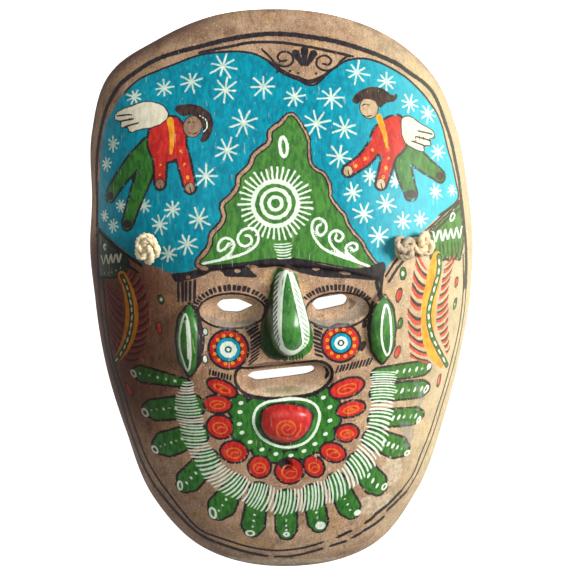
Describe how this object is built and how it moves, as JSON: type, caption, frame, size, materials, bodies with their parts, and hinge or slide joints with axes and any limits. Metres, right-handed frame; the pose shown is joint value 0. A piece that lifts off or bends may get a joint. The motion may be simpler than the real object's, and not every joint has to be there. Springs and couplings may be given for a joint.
{
  "type": "painted clay mask",
  "caption": "Domed hand-made clay face mask, painted in folk style, with eye and mouth slits and a knotted cotton hanging cord.",
  "frame": {"origin": "under the middle of the mask's box, on the plane that its rim rests on", "axes": "+Z out of the front of the mask, +Y towards its top, +X to the viewer's right"},
  "size_m": [0.2239, 0.33, 0.0751],
  "materials": {
    "painted_clay": "fired clay, hand painted and burnished",
    "cotton": "twisted cotton cord",
    "dusty_cotton": "twisted cotton cord, dirty"
  },
  "bodies": {
    "root": {"mask": "painted_clay", "hanging_cord": "cotton", "knot_left": "cotton", "knot_right": "dusty_cotton"}
  },
  "joints": []
}
